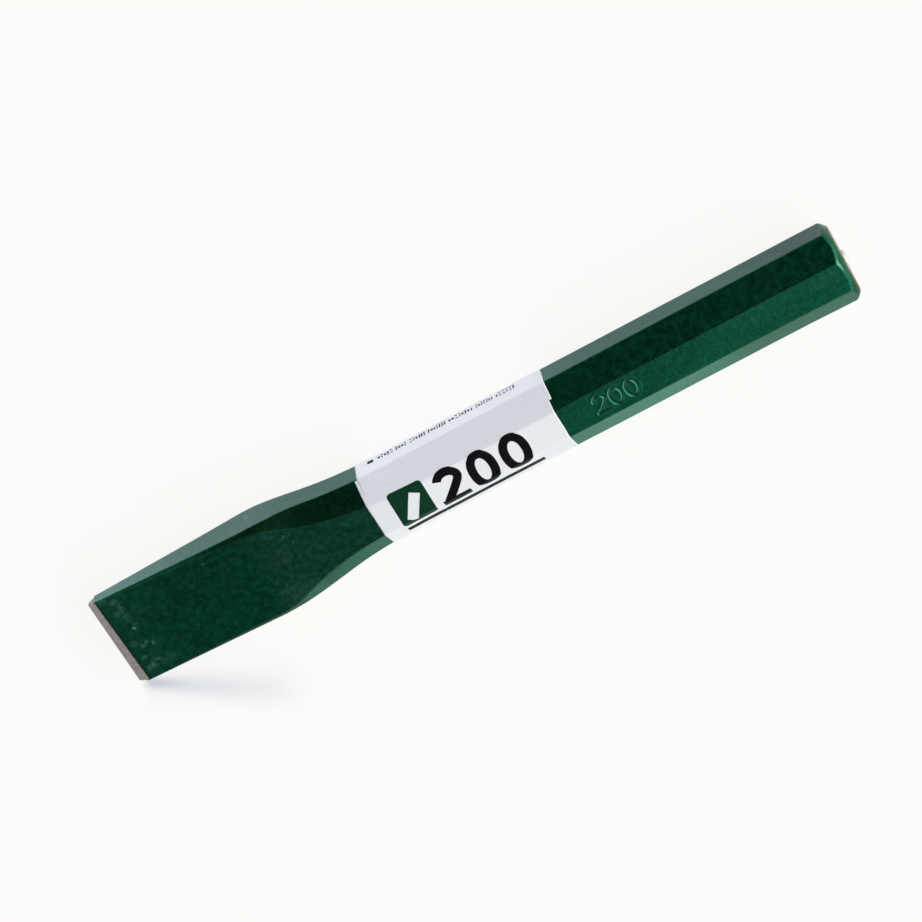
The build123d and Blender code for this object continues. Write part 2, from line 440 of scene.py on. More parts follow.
def cut_away(bm, place, normal):
    """Removes what lies beyond a plane and caps the opening with a flat face."""
    bmesh.ops.bisect_plane(bm, geom=bm.verts[:] + bm.edges[:] + bm.faces[:], dist=1e-8,
                           plane_co=Vector(place) * MM, plane_no=Vector(normal), clear_outer=True)
    open_edges = [edge for edge in bm.edges if len(edge.link_faces) == 1]
    for face in bmesh.ops.edgeloop_fill(bm, edges=open_edges)["faces"]:
        face.smooth = False


def steel_body():
    tip_rows = np.repeat(STEEL_TIP_X[:, None], LINES, 1)
    stations = np.concatenate([tip_rows, middle_rows, head_stations(STEEL_SKIN, HEAD_X - 0.25)])
    points = turn_chamfer(surface(stations, STEEL_SKIN)[0], STEEL_SKIN)
    points = bend(np.concatenate([points, head_rings(points[-1])]))
    rows = len(points)
    vertices = np.concatenate([points.reshape(-1, 3), points[-1].mean(0)[None]])
    faces = grid_faces(rows, LINES).tolist()
    faces.append(list(range(LINES - 1, -1, -1)))        # closes the tip, which is cut away below
    last_row, centre = (rows - 1) * LINES, len(vertices) - 1
    faces += [[last_row + j, last_row + (j + 1) % LINES, centre] for j in range(LINES)]
    obj = mesh_object("forged_body_steel", vertices, faces)

    bm = bmesh.new()
    bm.from_mesh(obj.data)
    bmesh.ops.recalc_face_normals(bm, faces=bm.faces)
    cut_away(bm, (0, 0, LAND), (-BEVEL_SLOPE, -BEVEL_SKEW, 1))
    cut_away(bm, (0, 0, -LAND), (-BEVEL_SLOPE, BEVEL_SKEW, -1))
    cut_away(bm, (0.02, 0, 0), (-1, 0.009, 0))          # narrow land on the edge
    for side, radius, half_width in EDGE_ENDS:
        for angle in (15, 30, 45, 60, 75):
            cosine, sine = math.cos(math.radians(angle)), math.sin(math.radians(angle))
            place = (side * 0.11 + radius - radius * cosine,
                     side * (half_width - radius + radius * sine), 0)
            cut_away(bm, place, (-cosine, side * sine, 0))
    bmesh.ops.triangulate(bm, faces=[face for face in bm.faces if len(face.verts) > 4],
                          quad_method="BEAUTY", ngon_method="BEAUTY")
    bmesh.ops.dissolve_degenerate(bm, dist=1e-7, edges=bm.edges[:])
    bmesh.ops.recalc_face_normals(bm, faces=bm.faces)
    bm.to_mesh(obj.data)
    bm.free()
    return obj


steel = steel_body()
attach(steel, "root")
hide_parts("forged_body")

# ---------------------------------------------------------------- paper label
LABEL_FACET_STEPS = [16, 18, 22, 18, 16, 14, 18, 14]
LABEL_CORNER_STEPS = 8
LABEL_ORDER = [1, 2, 3, 4, 5, 6, 7, 0]      # from the upper corner facet on the +Y side
LABEL_RADIUS = 0.62
# Steps of the lap: it covers 4.7 of the corner facet's 7.88 mm
LAP_STEPS = int(round(LABEL_FACET_STEPS[1] * 4.7 / 7.88))
label_run = np.linspace(0, 1, 150)


def label_grid():
    """The band's outer face: once round from the corner facet, then lapped back over it.

    Returns points, normals, girth and x shift of each column, the column where the lap
    starts, and the paper's thickness as a share of the full one."""
    base_x = LABEL_START + label_run * (LABEL_END - LABEL_START)
    section, normals, _ = outline(base_x, np.full(len(base_x), LABEL_RADIUS), LABEL_FACET_STEPS,
                                  LABEL_CORNER_STEPS, LABEL_ORDER)
    ring = section.shape[1]
    columns = np.arange(ring + LAP_STEPS + 1)
    wound = (columns + LABEL_CORNER_STEPS) % ring
    section, normals = section[:, wound], normals[:, wound]
    pieces = np.linalg.norm(np.diff(section[len(label_run) // 2], axis=0), axis=1)
    girth = np.concatenate([[0], np.cumsum(pieces)])
    on_lap = smoothstep(ring - LABEL_CORNER_STEPS - 1, ring - 1, columns)
    shift = 0.75 * (girth - 7.9) / girth[ring]          # the band is wound slightly askew
    x = base_x[:, None] + shift[None]
    points = np.concatenate([x[..., None], section], -1)
    from_start, from_end = x - (LABEL_START + shift[None]), (LABEL_END + shift[None]) - x
    from_cut = np.minimum(from_start, from_end)
    waviness = noise3(points * [0.35, 1, 1], 5.0, 41)
    bulge = 0.030 * noise3(points, 7.0, 43) + 0.014 * noise3(points, 2.6, 45)
    curl = 0.10 * np.exp(-from_cut / 1.1) * np.clip(0.35 + waviness, 0, 1.3)
    from_free = girth[-1] - girth[None]                 # distance from the lap's free edge
    lap_wave = 0.75 + 0.5 * noise3(points * [1, 0, 0], 6.0, 47)
    lap_curl = np.where(columns[None] > ring, 0.006 * np.exp(-from_free / 0.7) * lap_wave, 0)
    # The lap is thin along its free edge and at its end by the blade
    rubbed = np.minimum(0.15 + 0.85 * smoothstep(0.0, 3.0, from_free),
                        0.20 + 0.80 * smoothstep(0.0, 2.4, from_start))
    thickness = 1 - on_lap[None] * (1 - rubbed)
    offset = (GLUE + PAPER + (PAPER * thickness + 0.008) * on_lap[None]
              + np.maximum(bulge, -0.03) + curl * (1 - 0.8 * on_lap[None]) + lap_curl)
    points[..., 1:] += normals * offset[..., None]
    # The cut ends aren't dead straight; each end has its own unevenness
    places = points.copy()
    places[..., 0] = (label_run[:, None] > 0.5) * 40
    points[..., 0] += np.exp(-from_cut / 3.0) * 0.10 * noise3(places, 4.0, 51)
    return points, normals, girth, shift, ring, thickness


band, band_normals, band_girth, band_shift, lap_start, band_thickness = label_grid()


def label_band():
    obj = mesh_object("paper_label_band", band, grid_faces(*band.shape[:2], closed=False))
    middle = obj.data.polygons[len(obj.data.polygons) // 2]
    if faces_inward(middle.center, middle.normal):
        obj.data.flip_normals()
    solidify = thicken(obj, "thickness", PAPER)
    group = obj.vertex_groups.new(name="thickness")
    for k in range(21):                     # weights in steps of 0.05
        picked = np.flatnonzero(np.round(band_thickness.ravel() * 20) == k)
        if len(picked):
            group.add(picked.tolist(), k / 20, "REPLACE")
    solidify.vertex_group, solidify.thickness_vertex_group = "thickness", 0.0
    return obj


label = label_band()
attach(label, "root")
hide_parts("paper_label")


def label_point(x, girth, lift):
    """Points at x and girth on the band's outer face, lifted off it."""
    column = np.interp(girth, band_girth, np.arange(len(band_girth)))
    shift = np.interp(girth, band_girth, band_shift)
    row = (np.clip((x - shift - LABEL_START) / (LABEL_END - LABEL_START), 0, 1)
           * (len(label_run) - 1))
    i = np.minimum(row.astype(int), len(label_run) - 2)
    j = np.minimum(column.astype(int), len(band_girth) - 2)
    down, across = (row - i)[:, None], (column - j)[:, None]
    points = (band[i, j] * (1 - down) * (1 - across) + band[i + 1, j] * down * (1 - across)
              + band[i, j + 1] * (1 - down) * across + band[i + 1, j + 1] * down * across)
    normals = band_normals[i, j] * (1 - across) + band_normals[i, j + 1] * across
    normals = normals / np.linalg.norm(normals, axis=1, keepdims=True)
    points[:, 1:] += normals * lift
    return points


# ---------------------------------------------------------------- ink, a thin film on the paper
# Shapes are lists of loops, the outer one first, then its holes. Loops are (x, girth) points;
# girth runs from the first edge of the +Y upper corner facet, over the top towards -Y.
INK_FILM = 0.010
INK_GAP = 0.006
INK_STAGGER = 0.003         # every other shape stands proud, so that overlaps share no plane


def score(bm, normal, places):
    """Cuts a flat shape along lines square to normal, so that it can bend there."""
    for place in places:
        bmesh.ops.bisect_plane(bm, geom=bm.verts[:] + bm.edges[:] + bm.faces[:],
                               plane_co=Vector(normal) * place, plane_no=normal)


def flat_shape(loops, height):
    bm = bmesh.new()
    edges = []
    for loop in loops:
        verts = [bm.verts.new((x, girth, height)) for x, girth in loop]
        edges += [bm.edges.new((verts[i], verts[(i + 1) % len(verts)]))
                  for i in range(len(verts))]
    bmesh.ops.triangle_fill(bm, edges=edges, use_beauty=True)
    x_values = [v.co.x for v in bm.verts]
    girths = [v.co.y for v in bm.verts]
    left, right = min(x_values), max(x_values)
    score(bm, (1, 0, 0), [x for x in np.arange(math.floor(left), right, 0.5) if x > left + 1e-3])
    inside = (band_girth > min(girths) + 1e-3) & (band_girth < max(girths) - 1e-3)
    score(bm, (0, 1, 0), band_girth[inside])
    return bm


def ink_piece(name, shapes):
    bm = bmesh.new()
    for k, loops in enumerate(shapes):
        shape = flat_shape(loops, INK_STAGGER * (k % 2))
        carrier = bpy.data.meshes.new("tmp")
        shape.to_mesh(carrier)
        shape.free()
        bm.from_mesh(carrier)
        bpy.data.meshes.remove(carrier)
    bmesh.ops.remove_doubles(bm, verts=bm.verts[:], dist=1e-4)
    bmesh.ops.recalc_face_normals(bm, faces=bm.faces)
    flat = np.array([v.co[:] for v in bm.verts])
    lift = (INK_GAP + INK_FILM + flat[:, 2])[:, None]
    for vert, place in zip(bm.verts, label_point(flat[:, 0], flat[:, 1], lift) * MM):
        vert.co = place
    bm.normal_update()
    face = next(iter(bm.faces))
    if faces_inward(face.calc_center_median(), face.normal):
        bmesh.ops.reverse_faces(bm, faces=bm.faces)
    mesh = bpy.data.meshes.new(name)
    bm.to_mesh(mesh)
    bm.free()
    obj = link_smooth(mesh)
    thicken(obj, "film", INK_FILM)
    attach(obj, "root")
    return obj


def box(left, top, right, foot):
    return [(left, top), (right, top), (right, foot), (left, foot)]


def rounded_box(left, top, right, foot, radius, steps=6):
    arcs = ((right - radius, top + radius, -90), (right - radius, foot - radius, 0),
            (left + radius, foot - radius, 90), (left + radius, top + radius, 180))
    return [(x + radius * math.cos(math.radians(angle + 90 * k / steps)),
             girth + radius * math.sin(math.radians(angle + 90 * k / steps)))
            for x, girth, angle in arcs for k in range(steps + 1)]


def oval_loop(x, girth, half_width, half_height, count, power):
    """A superellipse; a power above 2 squares it up."""
    def swell(value):
        return math.copysign(abs(value) ** (2 / power), value)
    return [(x + half_width * swell(math.cos(t)), girth + half_height * swell(math.sin(t)))
            for t in np.linspace(0, 2 * math.pi, count, endpoint=False)]


def stroke_loop(path, width):
    """Outline of a path drawn with the given width."""
    path = np.array(path, float)
    heading = np.gradient(path, axis=0)
    heading /= np.linalg.norm(heading, axis=1, keepdims=True)
    sideways = np.stack([-heading[:, 1], heading[:, 0]], -1)
    return np.concatenate([path + sideways * width / 2, (path - sideways * width / 2)[::-1]])


# The size "200" in heavy plain figures
FIGURE_TOP, FIGURE_FOOT = 7.0, 17.2
FIGURE_X, FIGURE_WIDTH, FIGURE_GAP, STROKE = 89.2, 7.4, 1.35, 2.15
PRINT_LEFT = 78.0           # left end of the block and the bar


def figure_two(x):
    half_width = FIGURE_WIDTH / 2 - STROKE / 2
    half_height = 0.285 * (FIGURE_FOOT - FIGURE_TOP) - STROKE / 2 + 0.15
    centre_x, centre_girth = x + FIGURE_WIDTH / 2, FIGURE_TOP + STROKE / 2 + half_height
    bow = [(centre_x + half_width * math.cos(t), centre_girth - half_height * math.sin(t))
           for t in np.linspace(math.radians(168), math.radians(-28), 26)]
    start_x, start_girth = bow[-1]
    end_x, end_girth = x + STROKE * 0.62, FIGURE_FOOT - STROKE * 0.7
    tail = [(start_x + (end_x - start_x) * t, start_girth + (end_girth - start_girth) * t ** 0.92)
            for t in np.linspace(0, 1, 14)[1:]]
    foot = box(x, FIGURE_FOOT - STROKE, x + FIGURE_WIDTH, FIGURE_FOOT)
    return [[stroke_loop(bow + tail, STROKE)], [foot]]


def figure_zero(x):
    centre = (x + FIGURE_WIDTH / 2, (FIGURE_TOP + FIGURE_FOOT) / 2)
    half_width, half_height = FIGURE_WIDTH / 2, (FIGURE_FOOT - FIGURE_TOP) / 2
    return [[oval_loop(*centre, half_width, half_height, count=64, power=2.25),
             oval_loop(*centre, half_width - STROKE, half_height - STROKE * 0.92,
                       count=48, power=2.1)]]


figure_pitch = FIGURE_WIDTH + FIGURE_GAP
figures = (figure_two(FIGURE_X) + figure_zero(FIGURE_X + figure_pitch)
           + figure_zero(FIGURE_X + 2 * figure_pitch))
ink_figures = ink_piece("label_print_figures", figures)
ink_bar = ink_piece("label_print_bar", [[box(PRINT_LEFT, 18.9, 115.3, 21.0)]])

# A block with a slanted bar left white
block = [[rounded_box(PRINT_LEFT, FIGURE_TOP - 0.2, 87.2, FIGURE_FOOT + 0.1, radius=1.1),
          [(79.6, 14.7), (83.3, 8.5), (85.6, 9.9), (81.9, 16.1)]]]
ink_block = ink_piece("label_print_block", block)


def fine_print():
    """Rows of loose ticks, dashes and dots, none of them touching."""
    rng = np.random.RandomState(7)
    corner = band_girth[lap_start - LABEL_CORNER_STEPS - 1]     # edge of the +Y side facet
    foot, top = corner - 3.55, corner - 5.45
    x = 76.6
    shapes = [[rounded_box(x, foot - 1.45, x + 1.7, foot - 0.15, radius=0.35)]]
    x += 2.9
    for group in (5, 4, 6, 7, 8, 7, 6):
        for _ in range(group):
            kind = int(rng.randint(0, 5))
            if kind < 2:                    # a tall or a short tick
                short = 0.5 if kind else 0.0
                width = 0.34
                loops = [box(x, top + short, x + width, foot - short * 0.4)]
            elif kind == 2:                 # two short dashes, one over the other
                width = 0.72
                loops = [box(x, top, x + 0.62, top + 0.42),
                         box(x + 0.1, foot - 0.52, x + width, foot - 0.10)]
            elif kind == 3:                 # dot over dot
                width = 0.42
                loops = [box(x, top + 0.1, x + width, top + 0.62),
                         box(x, foot - 0.75, x + width, foot - 0.23)]
            else:                           # square dab
                width = 0.60
                loops = [box(x, top + 0.55, x + width, foot - 0.45)]
            shapes += [[loop] for loop in loops]
            x += width
            x += float(rng.choice([0.26, 0.34]))
        x += 0.62
    return shapes


ink_fine = ink_piece("label_print_fine", fine_print())


# ---------------------------------------------------------------- shader graphs
class Value:
    """A shader output; arithmetic on it adds Math nodes."""

    def __init__(self, net, socket):
        self.net, self.socket = net, socket

    def __add__(self, other): return self.net.math("ADD", self, other)
    def __radd__(self, other): return self.net.math("ADD", other, self)
    def __sub__(self, other): return self.net.math("SUBTRACT", self, other)
    def __rsub__(self, other): return self.net.math("SUBTRACT", other, self)
    def __mul__(self, other): return self.net.math("MULTIPLY", self, other)
    def __truediv__(self, other): return self.net.math("DIVIDE", self, other)
    def __pow__(self, other): return self.net.math("POWER", self, other)
    def __abs__(self): return self.net.math("ABSOLUTE", self)
    def max(self, other): return self.net.math("MAXIMUM", self, other)

    def ramp(self, start, end, to=(0.0, 1.0)):
        """Smooth step between two values of this one, from to[0] up or down to to[1]."""
        return self.net.value("MapRange", {0: self, 1: start, 2: end, 3: to[0], 4: to[1]},
                              interpolation_type="SMOOTHSTEP", clamp=True)

    def cover(self, mask, colour):
        """This colour with another laid over it where the mask is 1."""
        return self.net.mix(mask, self, colour)


class Net:
    """Wires shader nodes: numbers, colours, Values and sockets all go in as inputs."""

    def __init__(self, tree):
        self.tree = tree
        tree.nodes.clear()

    def node(self, kind, inputs=None, **props):
        node = self.tree.nodes.new("ShaderNode" + kind)
        for key, setting in props.items():
            setattr(node, key, setting)
        for key, source in (inputs or {}).items():
            socket = node.inputs[key]
            if isinstance(source, Value):
                source = source.socket
            if isinstance(source, bpy.types.NodeSocket):
                self.tree.links.new(source, socket)
            elif isinstance(source, tuple) and socket.type == "RGBA":
                socket.default_value = (*source, 1)
            else:
                socket.default_value = source
        return node

    def value(self, kind, inputs=None, output=0, **props):
        return Value(self, self.node(kind, inputs, **props).outputs[output])

    def math(self, operation, first, second=0.0, clamp=False):
        return self.value("Math", {0: first, 1: second, 2: 0.0}, operation=operation,
                          use_clamp=clamp)

    def vector(self, operation, first, second=None, output="Vector"):
        inputs = {0: first} if second is None else {0: first, 1: second}
        return self.value("VectorMath", inputs, output, operation=operation)

    def mix(self, factor, first, second):
        return self.value("Mix", {0: factor, 6: first, 7: second}, output=2, data_type="RGBA")

    def point(self):
        """The shaded point in the object's own space, in mm."""
        place = self.value("TexCoord", output="Object")
        return self.value("VectorMath", {0: place, "Scale": 1000.0}, operation="SCALE")

    def split(self, vector):
        return [Value(self, part) for part in self.node("SeparateXYZ", {0: vector}).outputs]

    def stretch(self, vector, factors):
        return self.vector("MULTIPLY", vector, factors)

    def noise(self, point, size, detail=3.0, rough=0.55):
        return self.value("TexNoise", {"Vector": point, "Scale": 1.0 / size, "Detail": detail,
                                       "Roughness": rough})

    def bump(self, height, distance, strength):
        return self.value("Bump", {"Height": height, "Distance": distance * MM,
                                   "Strength": strength})

    def attribute(self, name):
        return self.value("Attribute", output="Fac", attribute_name=name)

    def dot(self, first, second):
        return self.vector("DOT_PRODUCT", first, second, output="Value")

    def facing(self, normal, direction, start=0.93, full=0.985):
        """1 where the normal points in a direction; start and full are cosines."""
        return self.dot(normal, direction).ramp(start, full)

    def spot(self, point, centre, radii, soft=0.5, warp=None):
        """1 within the soft share of an ellipsoid, falling to 0 at its surface."""
        offset = self.vector("SUBTRACT", point, centre)
        offset = self.stretch(offset, tuple(1 / r for r in radii))
        distance = self.vector("LENGTH", offset, output="Value")
        if warp is not None:
            distance = distance + warp
        return distance.ramp(1.0, soft)

    def output(self, shader, kind="Material"):
        self.node("Output" + kind, {"Surface": shader})

    def principled(self, **inputs):
        self.output(self.value("BsdfPrincipled",
                               {key.replace("_", " "): v for key, v in inputs.items()}))


def new_material(name):
    mat = bpy.data.materials.new(name)
    mat.use_nodes = True
    return mat, Net(mat.node_tree)


# ---------------------------------------------------------------- enamel
# Pale rubs, mostly by the cutting edge: x, y, half length, half width, strength
SCUFFS = [
    (4.2, 11.6, 1.2, 0.8, 0.55), (6.1, 10.4, 0.9, 1.1, 0.8), (6.9, 8.8, 0.6, 1.3, 0.7),
    (5.6, 7.1, 1.3, 0.7, 0.6), (6.9, 5.1, 1.0, 1.2, 0.45), (6.9, 1.8, 0.45, 0.4, 1.3),
    (7.7, 2.6, 0.7, 0.5, 0.5), (6.3, -3.7, 0.8, 0.6, 0.8), (7.6, -3.1, 0.7, 0.5, 0.7),
    (9.0, -4.1, 0.6, 0.6, 0.9), (5.2, -9.7, 1.3, 0.9, 0.75), (4.9, -6.7, 0.8, 0.5, 0.6),
    (7.0, -8.5, 1.4, 0.6, 0.5), (4.4, -2.2, 0.8, 1.0, 0.5), (10.5, -9.5, 2.6, 1.2, 0.3),
    (30.7, 9.3, 0.5, 0.5, 0.6), (51.3, 6.9, 0.3, 0.35, 0.9), (52.6, 4.3, 0.3, 0.3, 0.8),
    (23.0, -1.6, 0.5, 0.6, 0.3), (44.2, -6.5, 1.6, 0.5, 0.2)]
# Directions of facets and arrises
SIDE_PLUS, SIDE_MINUS, BROAD_TOP = (0, 1, 0), (0, -1, 0), (0, 0, 1)
CORNER_PLUS, CORNER_MINUS = (0, 0.7071, 0.7071), (0, -0.7071, 0.7071)
ARRIS_PLUS, ARRIS_MINUS = (0, 0.9239, 0.3827), (0, -0.3827, 0.9239)


def facet_painted_shading(net, base, point, normal, mottle, fine):
    """Painted light and shade per facet: lighter, darker or greyer paint on the facets, the blade's
    run-out and the arrises stands in for how light falls on them.
    """
    x = net.split(point)[0]
    _, normal_y, normal_z = net.split(normal)
    side, corner_plus = net.facing(normal, SIDE_PLUS), net.facing(normal, CORNER_PLUS)
    broad, corner_minus = net.facing(normal, BROAD_TOP, 0.90, 0.96), net.facing(normal, CORNER_MINUS)
    # Painted shade on the +Y corner facet, a painted highlight on the -Y corner facet towards the
    # head
    base = base.cover(corner_plus * x.ramp(74, 84, to=(0, 0.20)), (0.004, 0.060, 0.018))
    base = base.cover(corner_minus * (x.ramp(118, 150, to=(0, 0.40)) * x.ramp(172, 158)),
                      (0.060, 0.380, 0.230))
    # Painted reflection greys the side facets
    side_painted_reflection = net.mix(fine.ramp(0.35, 0.68), (0.030, 0.118, 0.092), (0.052, 0.175, 0.142))
    base = base.cover(side * 0.75, side_painted_reflection)
    # Painted shade on the +Y corner's run-out, painted light on the broad facet's
    runout_painted_shade = (normal_y.ramp(0.24, 0.40) * normal_z.ramp(0.30, 0.45)
              * (x.ramp(24, 40) * x.ramp(80, 74)))
    dark = net.mix(x.ramp(56, 72) * fine.ramp(0.35, 0.68),
                   (0.0040, 0.066, 0.020), (0.008, 0.150, 0.075))
    base = base.cover(runout_painted_shade * 0.93, dark)
    pale = net.mix(mottle.ramp(0.35, 0.65), (0.030, 0.215, 0.125), (0.045, 0.275, 0.175))
    base = base.cover(broad * (x.ramp(39, 48) * x.ramp(90, 80, to=(0, 0.5))), pale)
    # A painted light patch on the broad facet by the run-out
    painted_light_patch = net.spot(point, (47.5, -9.0, 6.0), (8.0, 5.5, 4.0), soft=0.1)
    base = base.cover(painted_light_patch * normal_z.ramp(0.80, 0.92) * 0.60, (0.085, 0.330, 0.225))
    # Painted shade greys the -Y corner's run-out and darkens the side facets towards both ends
    base = base.cover(corner_minus * (x.ramp(42, 46) * x.ramp(66, 54, to=(0, 0.75))),
                      (0.075, 0.150, 0.110))
    side_end_painted_shade = x.ramp(40, 75, to=(0, 0.22)).max(x.ramp(160, 199, to=(0, 0.92)))
    base = base.cover(side * side_end_painted_shade, (0.010, 0.058, 0.040))
    # Painted shade darkens the rounded arrises against the facets
    arris_painted_shade = net.facing(normal, ARRIS_PLUS, 0.968, 0.992).max(
        net.facing(normal, ARRIS_MINUS, 0.968, 0.992) * 0.85)
    return base.cover(arris_painted_shade * 0.72, (0.004, 0.045, 0.022)), corner_minus


def scuff_mask(net, point, z, warp):
    patchy = net.noise(point, size=0.55, detail=5, rough=0.7)
    spots = []
    for x, y, half_length, half_width, strength in SCUFFS:
        centre = (x, y, 2.2 + 0.083 * x if x < 42 else 6.0)     # on the upper face
        radii = (half_length * 1.5, half_width * 1.5, 3.0)
        spots.append(net.spot(point, centre, radii, soft=0.25, warp=warp) * strength)
    return reduce(Value.max, spots) * z.ramp(0.6, 1.4) * patchy.ramp(0.36, 0.66, to=(0.25, 1.0))


def stain(net, base, point, x, warp):
    """A side rub, a brown streak where the blade runs out, and rust specks."""
    side_rub = net.spot(point, (44.4, 12.2, -1.3), (0.6, 1.0, 2.2), soft=0.3, warp=warp) * 0.6
    base = base.cover(side_rub, (0.16, 0.26, 0.24))
    centre = (47.6, 2.2, 6.0)
    turned = net.value("VectorRotate", {"Vector": point, "Center": centre, "Axis": (0, 0, 1),
                                        "Angle": math.radians(36)}, rotation_type="AXIS_ANGLE")
    brown = net.spot(turned, centre, (5.6, 2.3, 1.8), soft=0.1, warp=warp) * 0.34
    base = base.cover(brown, (0.115, 0.155, 0.105))
    rust = net.spot(point, (3.1, -5.2, 2.0), (0.35, 0.3, 1)).max(
        net.spot(point, (15.1, -12.2, 3.0), (0.4, 0.4, 1.5)))
    specks = net.noise(point, size=0.5, detail=3, rough=0.7).ramp(0.70, 0.74)
    rust = rust.max(specks * x.ramp(9, 3, to=(0, 0.8)))
    return base.cover(rust * 0.7, (0.16, 0.055, 0.020))


def enamel_material():
    mat, net = new_material("enamel_green")
    point = net.point()
    x, y, z = net.split(point)
    normal = net.value("NewGeometry", output="Normal")
    normal_x = net.split(normal)[0]
    arris = net.attribute("edge")
    cloud = net.noise(net.stretch(point, (0.45, 1, 1)), size=9.0)
    mottle = net.noise(point, size=1.5, detail=4, rough=0.6)
    fine = net.noise(point, size=0.42, detail=3, rough=0.6)
    peel = net.noise(point, size=0.75, detail=2, rough=0.5)
    speck = net.noise(point, size=0.26, detail=2, rough=0.5)
    warp = (net.noise(point, size=0.9, detail=4, rough=0.65) - 0.5) * 2.4

    base = net.mix(cloud.ramp(0.35, 0.68), (0.004, 0.150, 0.074), (0.008, 0.185, 0.094))
    base = base.cover(mottle.ramp(0.42, 0.68) * 0.50, (0.008, 0.205, 0.112))
    base = base.cover(fine.ramp(0.50, 0.66) * 0.45, (0.022, 0.255, 0.160))
    base = base.cover(speck.ramp(0.52, 0.66) * 0.45, (0.034, 0.320, 0.215))
    base, corner_minus = facet_painted_shading(net, base, point, normal, mottle, fine)
    # Towards the ground edge the enamel is duller and paler
    dull = x.ramp(24, 1)
    base = base.cover(dull * 0.40, (0.018, 0.150, 0.108))
    rub = scuff_mask(net, point, z, warp)
    base = base.cover(net.math("MULTIPLY", rub, 0.62, clamp=True), (0.21, 0.34, 0.30))
    base = stain(net, base, point, x, warp)
    # Thin enamel over the arrises, and a few chips
    worn = net.noise(net.stretch(point, (0.3, 1, 1)), size=1.1, detail=4, rough=0.65)
    thin = arris.ramp(0.35, 0.95) * worn.ramp(0.46, 0.66)
    base = base.cover(thin * 0.22, (0.050, 0.17, 0.085))
    chips = net.noise(net.stretch(point, (0.5, 1, 1)), size=0.55, detail=3, rough=0.7)
    chip = arris.ramp(0.55, 0.95) * chips.ramp(0.725, 0.755)
    rim_noise = net.noise(point, size=0.6, detail=3, rough=0.6)
    rim = x.ramp(199.15, 199.85) * rim_noise.ramp(0.34, 0.56)
    tip_noise = net.noise(net.stretch(point, (1, 0.5, 1)), size=0.35, detail=3, rough=0.7)
    tip_wear = x.ramp(3.6, 2.3) * tip_noise.ramp(0.50, 0.62)
    # A dark line where the bevels stop
    from_bevel = x * BEVEL_SLOPE + (y * BEVEL_SKEW + LAND) - abs(z)
    burnt_noise = net.noise(point, size=0.8, detail=3, rough=0.6)
    burnt = from_bevel.ramp(0.42, 0.05) * burnt_noise.ramp(0.30, 0.55, to=(0.35, 1.0))
    base = base.cover(burnt * 0.75, (0.020, 0.040, 0.022))
    # Painted shade darkens the chamfer, whose clear coat is also weaker, and a painted highlight
    # brightens it where it meets the ridge
    chamfer = normal_x.ramp(0.10, 0.42) * x.ramp(194.5, 196.0)
    base = base.cover(chamfer * normal_x.ramp(0.48, 0.62, to=(0.84, 0.60)), (0.010, 0.060, 0.030))
    painted_glint = net.spot(point, (198.2, 2.4, 8.6), (0.8, 2.7, 1.8), soft=0.20, warp=warp * 0.25)
    base = base.cover(painted_glint * normal_x.ramp(0.2, 0.4) * 0.85, (0.150, 0.300, 0.245))
    # Painted shade darkens the paint in the stamped figures, which is also rougher and less coated
    # there
    stamp = net.math("MULTIPLY", net.attribute("stamp"), 1.8, clamp=True)
    base = base.cover(stamp * 0.74, (0.030, 0.090, 0.062))
    # The blade's corner and side towards -Y are dark with scale
    scale = corner_minus.max(net.facing(normal, SIDE_MINUS, 0.90, 0.97)) * x.ramp(45, 39)
    base = base.cover(scale * 0.85, (0.022, 0.040, 0.026))
    bare = chip.max(tip_wear * 0.5)
    base = base.cover(bare * 0.85, (0.13, 0.115, 0.075))
    base = base.cover(rim * 0.45, (0.22, 0.21, 0.10))

    # How much each kind of wear takes from the metallic look and from the clear coat
    metal_loss = net.math("ADD", bare * 0.3, rub * 0.35 + (scale * 0.9 + rim * 0.5), clamp=True)
    coat_loss = bare * 0.5 + (rub * 0.3 + (rim * 0.4 + (
        scale * 0.9 + (chamfer * 0.4 + stamp * 0.30))))
    film = y.ramp(-8.0, 8.0, to=(0.30, 0.80))
    net.principled(
        Base_Color=base, Metallic=0.972 - metal_loss,
        Roughness=mottle.ramp(0.3, 0.75, to=(0.27, 0.38)) + (
            dull * 0.05 + (rub * 0.12 + stamp * 0.16)),
        Normal=net.bump(peel * 0.75 + fine * 0.22, distance=0.060, strength=0.85),
        Coat_Weight=net.math("SUBTRACT", film, coat_loss, clamp=True),
        Coat_Roughness=mottle.ramp(0.3, 0.8, to=(0.14, 0.24)) + rub * 0.2, Coat_IOR=1.30,
        Coat_Normal=net.bump(peel * 0.8 + fine * 0.12, distance=0.036, strength=0.8),
        Specular_IOR_Level=0.1)
    return mat


